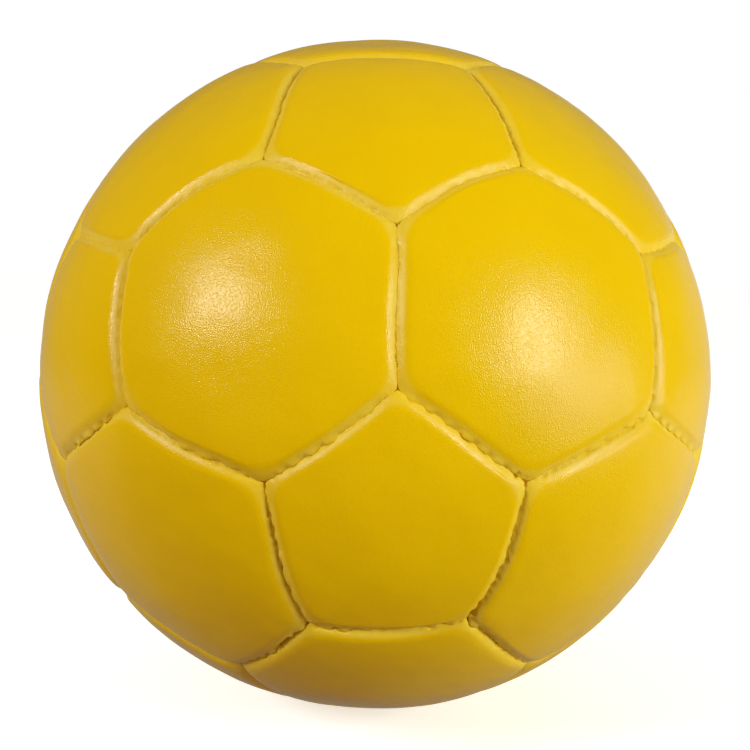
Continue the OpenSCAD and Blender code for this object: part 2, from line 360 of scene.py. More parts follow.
def fall_off(rays, centres):
    return np.exp((rays @ centres.T - 1) * (BALL_R / CORNER_REACH) ** 2)


SHIFTED, SHIFTS = seam_shifts()
SHIFT_WEIGHTS = np.linalg.solve(fall_off(SHIFTED, SHIFTED), SHIFTS)
# How far the seams wander at random, over which length, and how far round the valve they don't, in mm
WOBBLE = 0.2
WOBBLE_LENGTH = 30.0
WOBBLE_SEEDS = (11, 12, 13)
VALVE_CALM = 25.0


def bend(rays):
    """Moves ideal rays to where the real cover's seams run. Round the valve they stay."""
    points = rays * BALL_R
    wobble = np.stack([waves(points, WOBBLE_LENGTH, seed) for seed in WOBBLE_SEEDS], 1) * WOBBLE / BALL_R
    calm = 1 - np.exp((rays @ VALVE_RAY - 1) * (BALL_R / VALVE_CALM) ** 2)
    return unit(rays + fall_off(rays, SHIFTED) @ SHIFT_WEIGHTS + wobble * calm[:, None])


# Stitches, which both panels of a seam share

# How far a stitch stands from its even place, the range of how hard it pulls, and how far that reaches, in mm
STITCH_DRIFT = 0.5
STITCH_PULLS = (0.5, 1.1)
PULL_REACH = 1.3
# Difference of the distances to two seams over which what one side's edge does fades towards a corner, in mm
CORNER_FADE = 3.0


def stitches(seam):
    """Places of a seam's stitches along it in mm from its middle, and how hard each one pulls."""
    rng = np.random.default_rng(100 * seam[0] + seam[1])
    places = (np.arange(STITCH_COUNT) - (STITCH_COUNT - 1) / 2) * STITCH_PITCH
    drift = rng.uniform(-STITCH_DRIFT, STITCH_DRIFT, STITCH_COUNT)
    return places + drift, rng.uniform(*STITCH_PULLS, STITCH_COUNT)


STITCHES = {seam: stitches(seam) for seam in SEAMS}


def seam_place(panel, rays):
    """The nearest side of a panel for each ray, the distance to its seam and the place along it, in mm.

    The last value is 1 where the next side is far enough, and falls to 0 where it is as near.
    """
    distances = BALL_R * np.arcsin(np.clip(rays @ panel.normals.T, -1, 1))
    side = distances.argmin(1)
    rows = np.arange(len(rays))
    along = BALL_R * np.arcsin(np.clip((rays @ panel.tangents.T)[rows, side], -1, 1))
    first, second = np.partition(distances, 1, axis=1)[:, :2].T
    return side, first, along, smooth((second - first) / CORNER_FADE)


def stitch_pull(panel, side, along):
    """How much the stitches pull each point's edge in, from 0 to about 1."""
    pull = np.zeros(len(along))
    for k, seam in enumerate(panel.seams):
        mine = side == k
        places, strengths = STITCHES[seam]
        pull[mine] = (strengths * bell(along[mine][:, None] - places, PULL_REACH)).sum(1)
    return pull


def gathers(panel, side, along):
    """The wavy rise and fall of each side's edge along it, of about unit height."""
    height = np.zeros(len(along))
    for k, seam in enumerate(panel.seams):
        mine = side == k
        rng = np.random.default_rng(10000 * panel.index + 100 * seam[0] + seam[1])
        pitches = rng.uniform(*GATHER_PITCH, 3)
        phases = rng.uniform(0, 2 * math.pi, 3)
        height[mine] = np.sin(2 * math.pi * along[mine][:, None] / pitches + phases).sum(1) / 2
    return height


def openness(rays):
    """How far each side of the seam stands back, in mm."""
    points = rays * BALL_R
    gap = np.zeros(len(rays))
    for pixel, reach, width in OPEN_STRETCHES:
        away = np.linalg.norm(points - ray_at(pixel) * BALL_R, axis=1)
        gap += width * bell(away, reach)
    slits = np.clip(mixed_waves(points, SLIT_WAVES), 0, 2)
    ragged = GAP_EVEN + mixed_waves(points, GAP_WAVES) + GAP_SLITS * slits
    return np.clip(gap * ragged + SLIT_WIDTH * np.clip(slits - SLIT_START, 0, 1), 0, 1)


def overhang(panel):
    """How much the lip of each side hangs over its neighbour's, from -1, where it lies under it, to 1."""
    steps = panel.centre[2] - CENTRES[panel.neighbours][:, 2]
    middles = (panel.corners + np.roll(panel.corners, -1, axis=0))[:, 2] / 2
    lower = smooth((OVERHANG_HIGH - middles) / OVERHANG_FADE)
    return np.clip(steps / OVERHANG_STEP, -1, 1) * (OVERHANG_LEAST + (1 - OVERHANG_LEAST) * lower)


def form(rays):
    """How far the ball's form stands out of round, in mm."""
    points = rays * BALL_R
    height = np.zeros(len(rays))
    for pixel, reach, rise in DENTS:
        away = np.linalg.norm(points - ray_at(pixel) * BALL_R, axis=1)
        height += rise * bell(away, reach)
    return height


# Panels

# The mesh attribute that tells the leather how deep in the fold a point lies, in mm
FOLD_VALUE = "fold_depth"


def arc_steps(arc, level, height, steps):
    """Points along one arc of the edge's section, from the seam on, as (distance from seam, height)."""
    radius, last, first = arc
    points = []
    for angle in np.radians(np.linspace(first, last, steps + 1))[1:]:
        points.append((
            level + radius * (math.sin(math.radians(first)) - math.sin(angle)),
            height + radius * (math.cos(angle) - math.cos(math.radians(first))),
        ))
    return points


def edge_section():
    """The section of a panel's edge, from the groove's bottom on, as (distance from seam, height)."""
    drop = 0.0
    for (radius, last, first), _ in EDGE_ARCS:
        drop += radius * (math.cos(math.radians(last)) - math.cos(math.radians(first)))
    points = [(0.0, -drop)]
    for arc, steps in EDGE_ARCS:
        points += arc_steps(arc, *points[-1], steps)
    return points


SECTION = edge_section()
CREST_LEVEL = SECTION[-1][0]


def softness(level, height):
    """How far the corners of a ring at that distance from the seam are rounded, in mm."""
    if level == 0 and height < CRACK_DEPTH:
        return CLOSED_SOFTNESS
    levels = [0, CREST_LEVEL, BAND_LEVEL]
    return float(np.interp(level, levels, [FOLD_SOFTNESS, CREST_SOFTNESS, BAND_SOFTNESS]))


def panel_rings(hole_r):
    """Rings of a panel's mesh, from the middle of its face over its edge to the middle of its inside.

    Each is (steps along a side, share of the way from middle to band or None, distance from seam, height,
    whether it lies outside). A panel with a hole has rings down the hole in place of its middle.
    """
    rings = []
    first = 0
    if hole_r > 0:
        first = VALVE_STEPS
        for share, height in HOLE_RINGS:
            rings.append((first, share, BAND_LEVEL, height, True))
    for j in range(first, FIELD_STEPS + 1):
        share = j / FIELD_STEPS if hole_r == 0 else (j - first + 1) / (FIELD_STEPS - first + 1)
        rings.append((j, share, BAND_LEVEL, 0.0, True))
    for level in PLAIN_LEVELS:
        rings.append((EDGE_STEPS // 2, None, level, 0.0, True))
    rings.append((EDGE_STEPS, None, DENSE_LEVEL, 0.0, True))
    for level, height in reversed(SECTION):
        rings.append((EDGE_STEPS, None, level, height, True))
    low = SECTION[0][1]
    rings.append((EDGE_STEPS, None, 0.0, low + FLANGE_SHARE * (-FLANGE_DEPTH - low), True))
    rings.append((INNER_STEPS, None, 0.0, -FLANGE_DEPTH, True))
    for away, height in INSIDE_RINGS:
        rings.append((INNER_STEPS, None, LEATHER_T + away, height, False))
    for steps in BACK_STEPS if hole_r == 0 else BACK_STEPS[:1]:
        rings.append((steps, steps / INNER_STEPS, BAND_LEVEL, -LEATHER_T, False))
    rings.append((first, 0.0, BAND_LEVEL, -LEATHER_T, False))
    return rings


def rounded_distance(panel, rays, soft):
    """Distance to the nearest seam in mm, smaller near the corners so that rings round them."""
    distances = np.sort(BALL_R * np.arcsin(np.clip(rays @ panel.normals.T, -1, 1)), axis=1)
    overlap = np.clip(soft - (distances[:, 1] - distances[:, 0]), 0, None)
    return distances[:, 0] - overlap**2 / (4 * soft)


def level_ring(panel, steps, level, height=0.0):
    """Rays of a ring at one distance from the seams, with that many steps a side."""
    share = (np.arange(steps) / steps)[None, :, None]
    following = np.roll(panel.corners, -1, axis=0)
    border = unit(panel.corners[:, None] * (1 - share) + following[:, None] * share).reshape(-1, 3)
    low, high = np.zeros(len(border)), np.ones(len(border))
    soft = softness(level, height)
    for _ in range(HALVINGS):
        middle = (low + high) / 2
        rays = unit(panel.centre + middle[:, None] * (border - panel.centre))
        inside = rounded_distance(panel, rays, soft) > level
        low, high = np.where(inside, middle, low), np.where(inside, high, middle)
    return unit(panel.centre + low[:, None] * (border - panel.centre))


def field_ring(panel, steps, share, hole_r):
    """Rays of a ring part of the way from the middle, or the valve's hole, to the band."""
    if steps == 0:
        return panel.centre[None]
    outer = level_ring(panel, steps, BAND_LEVEL)
    flat = outer / (outer @ panel.centre)[:, None] - panel.centre
    rim = unit(flat) * hole_r / BALL_R
    return unit(panel.centre + rim + (flat - rim) * share)


def shape_panel(panel, hole_r):
    """The points of a panel in mm, and how deep under its face each one's ring lies."""
    points, folds = [], []
    for steps, share, level, height, outer in panel_rings(hole_r):
        if share is None:
            ideal = level_ring(panel, steps, level, height)
        else:
            ideal = field_ring(panel, steps, share, hole_r)
            level = None
        points.append(dress(panel, ideal, level, height, outer))
        folds.append(np.full(len(ideal), -height))
    return np.vstack(points), np.hstack(folds)


def dress(panel, rays, level, height, outer):
    """Places a ring's points: bends them to the real seams, and lets stitches and folds move them.

    level is the ring's distance from the seam, or None for a ring of the face.
    """
    side, distance, along, whole = seam_place(panel, rays)
    base = rays * BALL_R
    pull = stitch_pull(panel, side, along)
    lip, fold = (smooth((start - distance) / fade) for start, fade in (LIP_REACH, FOLD_REACH))
    lift = np.full(len(rays), height)
    if outer:
        middle, reach = FLANK_PULL_REACH
        lift -= SEAM_DROP * np.exp(-distance / SEAM_DROP_REACH)
        lift += mixed_waves(base, FACE_WAVES, panel.index) - SURFACE_DROP
        lift += form(rays)
        lift -= FLANK_PULL * pull * bell(distance, reach, middle)
        lift -= LIP_PULL * pull * lip
        middle, reach = GATHER_REACH
        lift += GATHER_DEPTH * whole * gathers(panel, side, along) * bell(distance, reach, middle)
    aside = np.zeros(len(rays))
    if level is not None:
        crest = bell(level, CREST_REACH, CREST_LEVEL)
        aside += whole * crest * mixed_waves(base, CREST_WAVES, panel.index)
        wide = openness(rays) if height > CRACK_DEPTH else 0.0
        first = np.array([panel.index == seam[0] for seam in panel.seams])[side]
        slant = mixed_waves(base, LIP_WAVES)
        uneven = np.clip(LOBE_EVEN + mixed_waves(base, LOBE_WAVES), 0, LOBE_MOST)
        lobe = LOBE * np.clip(LOBE_PULL - pull, 0, 1) * uneven * whole * lip * overhang(panel)[side]
        lift += LOBE_RISE * np.clip(lobe, 0, None) * outer
        aside += fold * (wide - LIP_PRESS) + lip * whole * np.where(first, slant, -slant) - lobe
    inwards = panel.normals[side]
    inwards = inwards - (inwards * rays).sum(1, keepdims=True) * rays
    moved = unit(bend(rays) + inwards * (aside / BALL_R)[:, None])
    return moved * (BALL_R + lift)[:, None]


def strip(inner, outer):
    """Triangles between two rows of inner and outer steps, as three (row, column) corners each."""
    triangles, i, j = [], 0, 0
    while i < inner or j < outer:
        if i < inner and (j == outer or (i + 1) * outer <= (j + 1) * inner):
            triangles.append(((0, i), (1, j), (0, i + 1)))
            i += 1
        else:
            triangles.append(((0, i), (1, j), (1, j + 1)))
            j += 1
    return triangles


def ring_faces(counts, sides, closed):
    """Triangles that join rings of the given steps a side. closed joins the last ring to the first."""
    starts = np.cumsum([0] + [max(1, m * sides) for m in counts])
    faces = []
    pairs = [(a, a + 1) for a in range(len(counts) - 1)] + ([(len(counts) - 1, 0)] if closed else [])
    for a, b in pairs:
        for corners in strip(counts[a], counts[b]):
            steps = np.array([counts[(a, b)[row]] for row, _ in corners])
            base = np.array([starts[(a, b)[row]] for row, _ in corners])
            columns = np.arange(sides)[:, None] * steps + np.array([column for _, column in corners])
            faces.append(base + columns % np.maximum(1, steps * sides))
    return np.vstack(faces)


def mesh_object(name, points, faces, material):
    """An object at the origin whose mesh holds points given in mm."""
    mesh = bpy.data.meshes.new(name)
    points = np.asarray(points, float) * MM
    faces = np.asarray(faces, np.int32)
    mesh.vertices.add(len(points))
    mesh.vertices.foreach_set("co", points.astype(np.float32).ravel())
    mesh.loops.add(faces.size)
    mesh.loops.foreach_set("vertex_index", faces.ravel())
    mesh.polygons.add(len(faces))
    mesh.polygons.foreach_set("loop_start", np.arange(len(faces), dtype=np.int32) * faces.shape[1])
    mesh.update(calc_edges=True)
    mesh.validate()
    mesh.shade_smooth()
    mesh.materials.append(material)
    thing = bpy.data.objects.new(name, mesh)
    bpy.context.scene.collection.objects.link(thing)
    return thing


def make_panels(material):
    faces = {}
    for panel, node in zip(PANELS, NODE_NAMES):
        hole_r = VALVE_HOLE_R if node == "valve_panel" else 0
        kind = (panel.sides, hole_r)
        if kind not in faces:
            faces[kind] = ring_faces([ring[0] for ring in panel_rings(hole_r)], panel.sides, hole_r > 0)
        points, folds = shape_panel(panel, hole_r)
        piece = mesh_object("cover_" + node, points, faces[kind], material)
        depths = piece.data.attributes.new(FOLD_VALUE, "FLOAT", "POINT")
        depths.data.foreach_set("value", folds.astype(np.float32))
        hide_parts(node)
        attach(piece, "ball")


# Thread

# A stitch: its points, how far it slants and bows in mm, and how hard it would have to pull to lie flat
STITCH_STEPS = 9
STITCH_SLANT = 0.3
STITCH_BOW = 0.35
STITCH_FLAT = 1.3
# The lay along each edge: its points, and how far it reaches past the last stitch and off the leather, in mm
RAIL_STEPS = 14
RAIL_PAST = 0.6
RAIL_CLEAR = 0.5
THREAD_SIDES = 6


def tube(centres, axis, radius, sides):
    """A closed tube along a line of points. axis is a direction that no stretch of it follows."""
    ahead = unit(np.gradient(centres, axis=0))
    left = unit(np.cross(axis, ahead))
    upward = np.cross(ahead, left)
    turns = np.arange(sides) * 2 * math.pi / sides
    ring = np.cos(turns)[None, :, None] * left[:, None] + np.sin(turns)[None, :, None] * upward[:, None]
    points = (centres[:, None] + ring * radius).reshape(-1, 3)
    faces = []
    for i in range(len(centres) - 1):
        for k in range(sides):
            a, b = i * sides + k, i * sides + (k + 1) % sides
            faces += [(a, b, b + sides), (a, b + sides, a + sides)]
    last = (len(centres) - 1) * sides
    for k in range(1, sides - 1):
        faces += [(0, k + 1, k), (last, last + k, last + k + 1)]
    return points, np.array(faces)


def seam_rays(seam, along, aside):
    """Rays at places along a seam and to its side, in mm, before it bends."""
    middle = unit(CENTRES[seam[0]] * seam_share(seam) + CENTRES[seam[1]] * (1 - seam_share(seam)))
    tangent = seam_tangent(seam)
    across = np.cross(middle, tangent)
    angle = along / BALL_R
    rays = np.cos(angle)[:, None] * middle + np.sin(angle)[:, None] * tangent
    return unit(rays + np.asarray(aside)[:, None] / BALL_R * across)


def seam_share(seam):
    """How far a seam's middle lies towards its first panel, from the corners both panels share."""
    first = PANELS[seam[0]]
    side = first.neighbours.index(seam[1])
    middle = unit(first.corners[side] + first.corners[(side + 1) % first.sides])
    a, b = CENTRES[seam[0]], CENTRES[seam[1]]
    plane = np.cross(a, b)
    before = np.cross(middle, b) @ plane
    after = np.cross(a, middle) @ plane
    return before / (before + after)


def seam_thread(seam):
    """One seam's thread: a bowed stitch across the groove at each pair of holes, and a lay on each side."""
    places, strengths = STITCHES[seam]
    reach = LEATHER_T + RAIL_CLEAR
    parts = []
    swing = np.linspace(-1, 1, STITCH_STEPS)
    for place, strength in zip(places, strengths):
        rays = bend(seam_rays(seam, place + STITCH_SLANT * swing, swing * reach))
        height = -STITCH_DEPTH + STITCH_BOW * (1 - swing**2) * (STITCH_FLAT - strength)
        line = rays * (BALL_R + height)[:, None]
        parts.append(tube(line, rays[STITCH_STEPS // 2], THREAD_D / 2, THREAD_SIDES))
    along = np.linspace(places[0] - RAIL_PAST, places[-1] + RAIL_PAST, RAIL_STEPS)
    for aside in (-1, 1):
        rays = bend(seam_rays(seam, along, np.full(RAIL_STEPS, aside * reach)))
        axis = np.cross(rays[0], seam_tangent(seam))
        parts.append(tube(rays * (BALL_R - STITCH_DEPTH), axis, THREAD_D / 2, THREAD_SIDES))
    return parts


def join(parts):
    points, faces, base = [], [], 0
    for part_points, part_faces in parts:
        points.append(part_points)
        faces.append(part_faces + base)
        base += len(part_points)
    return np.vstack(points), np.vstack(faces)


def make_threads(material):
    """One piece of thread for each stitching node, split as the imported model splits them."""
    groups = {"hexagon_stitching": [], "pentagon_stitching_upper": [], "pentagon_stitching_lower": []}
    for seam in SEAMS:
        if seam[1] < len(HEXES):
            groups["hexagon_stitching"] += seam_thread(seam)
        elif CENTRES[seam[1]][2] > 0:
            groups["pentagon_stitching_upper"] += seam_thread(seam)
        else:
            groups["pentagon_stitching_lower"] += seam_thread(seam)
    for node, parts in groups.items():
        piece = mesh_object("thread_" + node, *join(parts), material)
        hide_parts(node)
        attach(piece, "ball")


# Materials

class Nodes:
    """A node tree and short ways to add nodes to it, most of which give the new node's output."""

    def __init__(self, tree):
        self.tree = tree

    def add(self, kind, **settings):
        """Adds a node and gives the node itself."""
        node = self.tree.nodes.new(kind)
        for key, value in settings.items():
            setattr(node, key, value)
        return node

    def put(self, socket, value):
        if isinstance(value, bpy.types.NodeSocket):
            self.tree.links.new(value, socket)
        else:
            socket.default_value = value

    def fill(self, node, names, values):
        for name, value in zip(names, values):
            self.put(node.inputs[name], value)

    def math(self, operation, a, b=0.0):
        node = self.add("ShaderNodeMath", operation=operation)
        self.fill(node, (0, 1), (a, b))
        return node.outputs[0]

    def span(self, value, low, high, to_low=0.0, to_high=1.0):
        """Maps low..high to to_low..to_high with a soft start and end."""
        node = self.add("ShaderNodeMapRange", interpolation_type="SMOOTHSTEP")
        names = ("Value", "From Min", "From Max", "To Min", "To Max")
        self.fill(node, names, (value, low, high, to_low, to_high))
        return node.outputs[0]

    def split(self, vector):
        """A vector's X, Y and Z, by name."""
        node = self.add("ShaderNodeSeparateXYZ")
        self.put(node.inputs[0], vector)
        return node.outputs

    def glow(self, kind, colour, strength=1.0):
        """Light of one colour, by an emission or a background node."""
        node = self.add(kind)
        self.fill(node, ("Color", "Strength"), (colour, strength))
        return node.outputs[0]

    def blend(self, share, a, b):
        """Shader a where share is 0, and b where it is 1."""
        node = self.add("ShaderNodeMixShader")
        self.fill(node, (0, 1, 2), (share, a, b))
        return node.outputs[0]

    def both(self, a, b):
        node = self.add("ShaderNodeAddShader")
        self.fill(node, (0, 1), (a, b))
        return node.outputs[0]

    def show(self, shader):
        output = next(n for n in self.tree.nodes if n.type.startswith("OUTPUT"))
        self.put(output.inputs["Surface"], shader)


class Finish(Nodes):
    """A node material. Its textures lie in the object's own space, in metres."""

    def __init__(self, name):
        self.material = bpy.data.materials.new(name)
        self.material.use_nodes = True
        super().__init__(self.material.node_tree)
        self.shader = next(n for n in self.tree.nodes if n.type == "BSDF_PRINCIPLED")
        self.place = self.add("ShaderNodeTexCoord").outputs["Object"]

    def noise(self, scale, detail=2.0, roughness=0.5, distortion=0.0, output="Fac"):
        node = self.add("ShaderNodeTexNoise")
        names = ("Vector", "Scale", "Detail", "Roughness", "Distortion")
        self.fill(node, names, (self.place, scale, detail, roughness, distortion))
        return node.outputs[output]

    def cells(self, scale, place=None, feature="DISTANCE_TO_EDGE"):
        node = self.add("ShaderNodeTexVoronoi", feature=feature)
        self.fill(node, ("Vector", "Scale"), (place or self.place, scale))
        return node.outputs["Distance"]

    def mix(self, share, a, b):
        """Colour a where share is 0, and b where it is 1."""
        node = self.add("ShaderNodeMix", data_type="RGBA")
        self.put(node.inputs["Factor"], share)
        colours = [s for s in node.inputs if s.type == "RGBA"]
        self.put(colours[0], a)
        self.put(colours[1], b)
        return next(s for s in node.outputs if s.type == "RGBA")

    def bump(self, height, distance, strength=1.0, below=None):
        """A normal bent by a height. below is a normal that is bent before."""
        node = self.add("ShaderNodeBump")
        self.fill(node, ("Height", "Distance", "Strength"), (height, distance, strength))
        if below is not None:
            self.put(node.inputs["Normal"], below)
        return node.outputs[0]

    def vector(self, operation, a, b=None, scale=None):
        """Vector maths. Gives the node's outputs, Vector and Value, of which one has the result."""
        node = self.add("ShaderNodeVectorMath", operation=operation)
        for name, value in ((0, a), (1, b), ("Scale", scale)):
            if value is not None:
                self.put(node.inputs[name], value)
        return node.outputs

    def from_point(self, ray):
        """Distance to a point of the nominal surface, in mm."""
        away = self.vector("DISTANCE", self.place, ray * BALL_R * MM)["Value"]
        return self.math("MULTIPLY", away, 1 / MM)

    def from_line(self, start, end):
        """Distance to the straight line between two points of the nominal surface, in mm."""
        length = np.linalg.norm(end - start) * BALL_R
        way = unit(end - start)
        away = self.vector("SUBTRACT", self.place, start * BALL_R * MM)["Vector"]
        along = self.vector("DOT_PRODUCT", away, way / MM)["Value"]
        along = self.math("MINIMUM", self.math("MAXIMUM", along, 0.0), length)
        foot = self.vector("SCALE", way * MM, scale=along)["Vector"]
        return self.math("MULTIPLY", self.vector("DISTANCE", away, foot)["Value"], 1 / MM)

    def set(self, **values):
        """Sets inputs of the main shader, whose names have _ for a space here."""
        for key, value in values.items():
            self.put(self.shader.inputs[key.replace("_", " ")], value)
        return self.material


# The leather's colours: of the face, of its darker spots, of the flanks, which are worn and paler also as a
# painted sheen in place of reflected light, deep in the seams, which is painted shade, and in marks, which is
# painted shade in the pits and creases
FACE_YELLOW = (0.775, 0.545, 0.0, 1)
SHADE_YELLOW = (0.70, 0.45, 0.0, 1)
WORN_AND_SHEEN_YELLOW = (0.775, 0.605, 0.045, 1)
SEAM_PAINTED_SHADE = (0.66, 0.35, 0.01, 1)
MARK_SHADE_BROWN = (0.12, 0.05, 0.01, 1)
# How much of the darker spots' colour and of the marks' painted shade shows
SHADE_SHARE = 0.14
MARK_SHADE_SHARE = 0.75
# Depths in the fold over which the flanks' worn and painted-sheen colour and the seams' painted shade set in,
# in mm
FLANK_START = (0.12, 0.5)
SEAM_SHADE_START = (1.4, 2.1)
# The part of a mark's radius that is full
MARK_CORE = 0.3
# The leather's grain: pebbles with wandering edges, fine pores in them, and long ripples. Scales are waves a
# metre and heights are in metres, but a mark is as deep as that many heights of the grain
PEBBLE_SCALE = 1800
PEBBLE_EDGE = 0.42
WANDER_SCALE = 700
WANDER = 0.0004
PORE_SCALE = 4200
PORE_SHARE = 0.15
MARK_HEIGHT = 5.0
GRAIN_HEIGHT = 0.000024
RIPPLE_SCALE = 420
RIPPLE_HEIGHT = 0.00005
FACE_ROUGHNESS = (0.18, 0.23)
FLANK_ROUGHNESS = 0.16
LEATHER_SPECULAR = 0.24


def leather_marks(finish):
    """Where the leather has pits and creases: 1 in them, 0 elsewhere."""
    spots = [(finish.from_point(ray_at(pixel)), radius) for pixel, radius in PITS]
    spots += [(finish.from_line(ray_at(start), ray_at(end)), half) for start, end, half in CREASES]
    marks = 0.0
    for distance, radius in spots:
        marks = finish.math("MAXIMUM", marks, finish.span(distance, MARK_CORE * radius, radius, 1, 0))
    return marks


def leather():
    finish = Finish("yellow_leather")
    depth = finish.add("ShaderNodeAttribute", attribute_name=FOLD_VALUE).outputs["Fac"]
    marks = leather_marks(finish)
    mottle = finish.span(finish.noise(55, detail=3, roughness=0.6), 0.35, 0.65, 0, SHADE_SHARE)
    flank = finish.span(depth, *FLANK_START)
    rubbed_and_sheen = finish.span(finish.noise(90, detail=3, roughness=0.6), 0.35, 0.65, 0.5, 1.0)
    colour = finish.mix(mottle, FACE_YELLOW, SHADE_YELLOW)
    # The flanks turn paler: partly worn leather, partly a painted sheen in place of reflected light
    colour = finish.mix(finish.math("MULTIPLY", flank, rubbed_and_sheen), colour, WORN_AND_SHEEN_YELLOW)
    # Deep in the seams the colour turns brown as painted shade
    colour = finish.mix(finish.span(depth, *SEAM_SHADE_START), colour, SEAM_PAINTED_SHADE)
    # Pits and creases are darker as painted shade
    colour = finish.mix(finish.math("MULTIPLY", marks, MARK_SHADE_SHARE), colour, MARK_SHADE_BROWN)
    wander = finish.vector("SCALE", finish.noise(WANDER_SCALE, output="Color"), scale=WANDER)["Vector"]
    pebbles = finish.cells(PEBBLE_SCALE, finish.vector("ADD", finish.place, wander)["Vector"])
    pores = finish.math("MULTIPLY", finish.noise(PORE_SCALE, roughness=0.6), PORE_SHARE)
    height = finish.math("ADD", finish.span(pebbles, 0.0, PEBBLE_EDGE), pores)
    height = finish.math("SUBTRACT", height, finish.math("MULTIPLY", marks, MARK_HEIGHT))
    ripple = finish.noise(RIPPLE_SCALE, detail=3, roughness=0.55, distortion=0.6)
    normal = finish.bump(ripple, RIPPLE_HEIGHT)
    normal = finish.bump(height, GRAIN_HEIGHT, below=normal)
    rough = finish.span(finish.noise(900, detail=3, roughness=0.6), 0.3, 0.7, *FACE_ROUGHNESS)
    rough = finish.math("ADD", rough, finish.math("MULTIPLY", flank, FLANK_ROUGHNESS))
    return finish.set(Base_Color=colour, Roughness=rough, Normal=normal, Specular_IOR_Level=LEATHER_SPECULAR)


def thread_in_painted_shade():
    finish = Finish("thread_in_painted_shade")
    fibres = finish.noise(2600, detail=3, roughness=0.6, distortion=0.4)
    # Both colours are darker and browner than the pale thread, as painted shade of the groove
    colour = finish.mix(finish.span(fibres, 0.35, 0.65), (0.50, 0.36, 0.12, 1), (0.66, 0.52, 0.22, 1))
    rough = finish.span(fibres, 0.3, 0.7, 0.45, 0.65)
    return finish.set(Base_Color=colour, Roughness=rough, Normal=finish.bump(fibres, 0.0001, strength=0.7))


def foam():
    finish = Finish("backing_foam")
    pores = finish.cells(1400, feature="F1")
    colour = finish.mix(finish.span(pores, 0.2, 0.8), (0.78, 0.78, 0.74, 1), (0.9, 0.9, 0.87, 1))
    return finish.set(Base_Color=colour, Roughness=0.9, Normal=finish.bump(pores, 0.0002, strength=0.6))


def lining_cloth():
    finish = Finish("woven_lining")
    weave = finish.add("ShaderNodeTexWave", wave_type="BANDS", bands_direction="DIAGONAL")
    finish.fill(weave, ("Vector", "Scale", "Distortion"), (finish.place, 420, 1.5))
    threads = weave.outputs["Fac"]
    colour = finish.mix(threads, (0.6, 0.6, 0.56, 1), (0.76, 0.76, 0.72, 1))
    return finish.set(Base_Color=colour, Roughness=0.85, Normal=finish.bump(threads, 0.00015, strength=0.6))


def rubber(name, base, light, rough):
    finish = Finish(name)
    speck = finish.noise(700, detail=4, roughness=0.6)
    colour = finish.mix(finish.span(speck, 0.35, 0.7), base, light)
    uneven = finish.span(speck, 0.3, 0.7, rough, rough + 0.12)
    bumps = finish.bump(finish.noise(2200), 0.00006, strength=0.5)
    return finish.set(Base_Color=colour, Roughness=uneven, Normal=bumps)


def finish_nodes():
    """Gives each CAD node that stays its material."""
    bladder_rubber = rubber("bladder_rubber", (0.015, 0.015, 0.016, 1), (0.03, 0.03, 0.031, 1), 0.5)
    valve_rubber = rubber("valve_rubber", (0.018, 0.017, 0.016, 1), (0.04, 0.038, 0.035, 1), 0.42)
    core_rubber = rubber("core_rubber", (0.09, 0.085, 0.075, 1), (0.13, 0.12, 0.11, 1), 0.4)
    padding, cloth = foam(), lining_cloth()
    kinds = {
        "hexagon_foam": padding, "pentagon_foam": padding, "valve_foam": padding,
        "hexagon_lining": cloth, "pentagon_lining": cloth, "valve_lining": cloth,
        "bladder": bladder_rubber, "bladder_patch": bladder_rubber,
        "valve_housing": valve_rubber, "valve_core": core_rubber,
    }
    for node, material in kinds.items():
        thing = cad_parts[node]
        thing.data.materials.clear()
        thing.data.materials.append(material)


# Stage, light and camera

# The floor's rings, and the distances from the ball's middle over which it fades into the white, in metres
FLOOR_RINGS = (0.0, 0.05, 0.1, 0.2, 0.4, 0.8, 1.6, 3.0)
FLOOR_STEPS = 96
FLOOR_FADE = (0.35, 1.1)
WHITE = (1, 1, 1, 1)
# The camera sees a pale floor in the lamps' light, which also glows this much with the white around it
FLOOR_PALE = ((0.83, 0.89, 0.95, 1), (0.84, 0.90, 0.96, 1))
FLOOR_WHITE = 0.54
# In reflections it is dark, and glows from FLOOR_BACK on along Y, with a strength that changes along X, over
# FLOOR_ASIDE, from the first to the second of FLOOR_MIRRORED
FLOOR_DARK = (0.05, 0.05, 0.05, 1)
FLOOR_BACK = (-0.15, 0.1)
FLOOR_ASIDE = (-0.3, 0.3)
FLOOR_MIRRORED = (0.32, 0.5)
# For all other rays it is brown felt and lends the ball's lower half a warm light, from FLOOR_LENT on along
# Y. Its strength changes along X, over the first two of FLOOR_SIDES, from the third to the fourth
FLOOR_FELT = (0.22, 0.11, 0.05, 1)
FLOOR_LENDS = (0.85, 0.78, 0.62, 1)
FLOOR_LENT = (-0.2, 0.08)
FLOOR_SIDES = (-0.12, 0.16, 0.25, 1.0)


def floor_mesh():
    """Points and triangles of a round floor under the ball, in rings, in mm."""
    turns = np.arange(FLOOR_STEPS) * 2 * math.pi / FLOOR_STEPS
    flat = [(0, 0)] + [(r * math.cos(t), r * math.sin(t)) for r in FLOOR_RINGS[1:] for t in turns]
    points = [(x / MM, y / MM, -BALL_R) for x, y in flat]
    faces = [(0, 1 + k, 1 + (k + 1) % FLOOR_STEPS) for k in range(FLOOR_STEPS)]
    for ring in range(len(FLOOR_RINGS) - 2):
        for k in range(FLOOR_STEPS):
            a = 1 + ring * FLOOR_STEPS + k
            b = 1 + ring * FLOOR_STEPS + (k + 1) % FLOOR_STEPS
            faces += [(a, a + FLOOR_STEPS, b + FLOOR_STEPS), (a, b + FLOOR_STEPS, b)]
    return points, faces


def floor_diffuse(finish, colour):
    node = finish.add("ShaderNodeBsdfDiffuse")
    finish.put(node.inputs["Color"], colour)
    return node.outputs[0]


